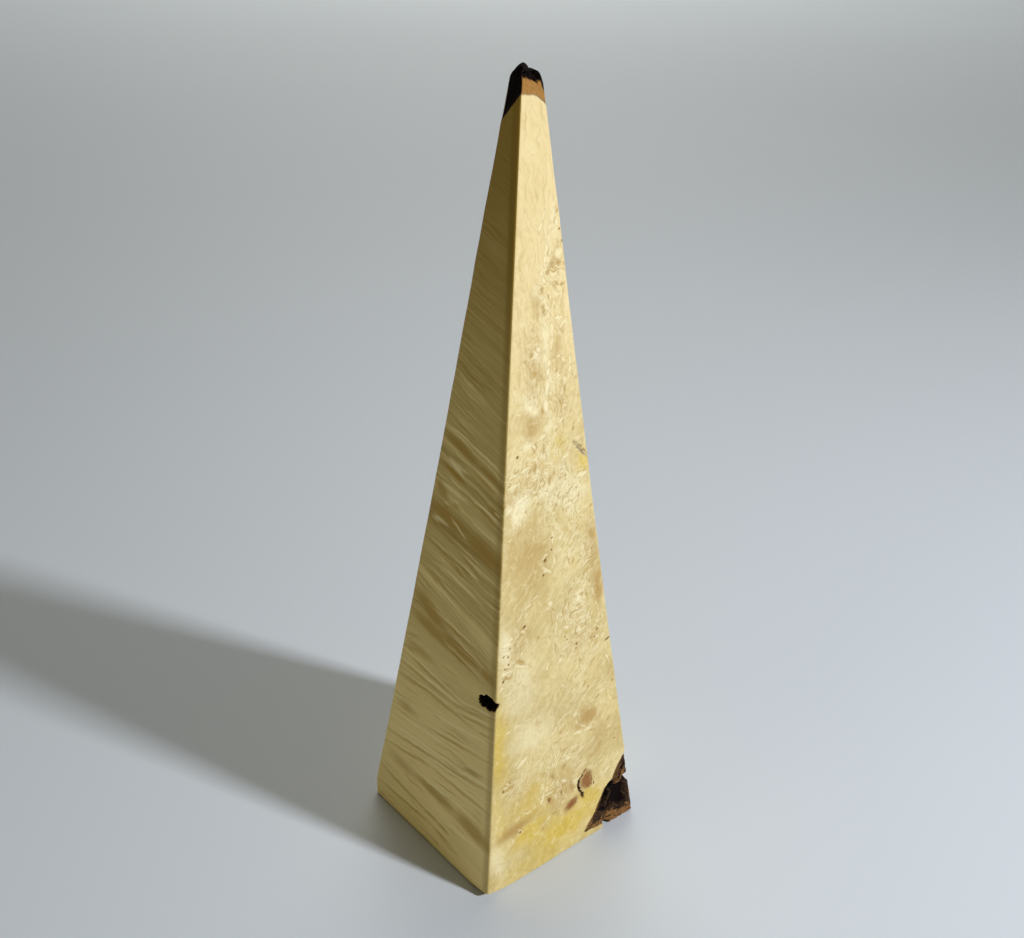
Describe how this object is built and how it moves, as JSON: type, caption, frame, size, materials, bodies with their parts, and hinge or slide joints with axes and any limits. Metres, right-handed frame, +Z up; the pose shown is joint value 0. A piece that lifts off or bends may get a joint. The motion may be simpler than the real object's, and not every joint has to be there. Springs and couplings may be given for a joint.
{
  "type": "wooden finial",
  "caption": "Slender square-tapered finial of pale burl wood with slightly hollow sides, standing on a flat foot, its natural bark left at the ragged tip and one foot corner.",
  "frame": {"origin": "centre of the flat foot, on the surface that the finial stands on", "axes": "+Z up the axis to the tip; +X towards the right side and -Y towards the front side, so that the front arris is at -X -Y and the bark corner of the foot at +X -Y"},
  "size_m": [0.0514, 0.0502, 0.195],
  "materials": {
    "burl_wood": "satin, sanded and oiled"
  },
  "bodies": {
    "root": {"finial": "burl_wood"}
  },
  "joints": []
}
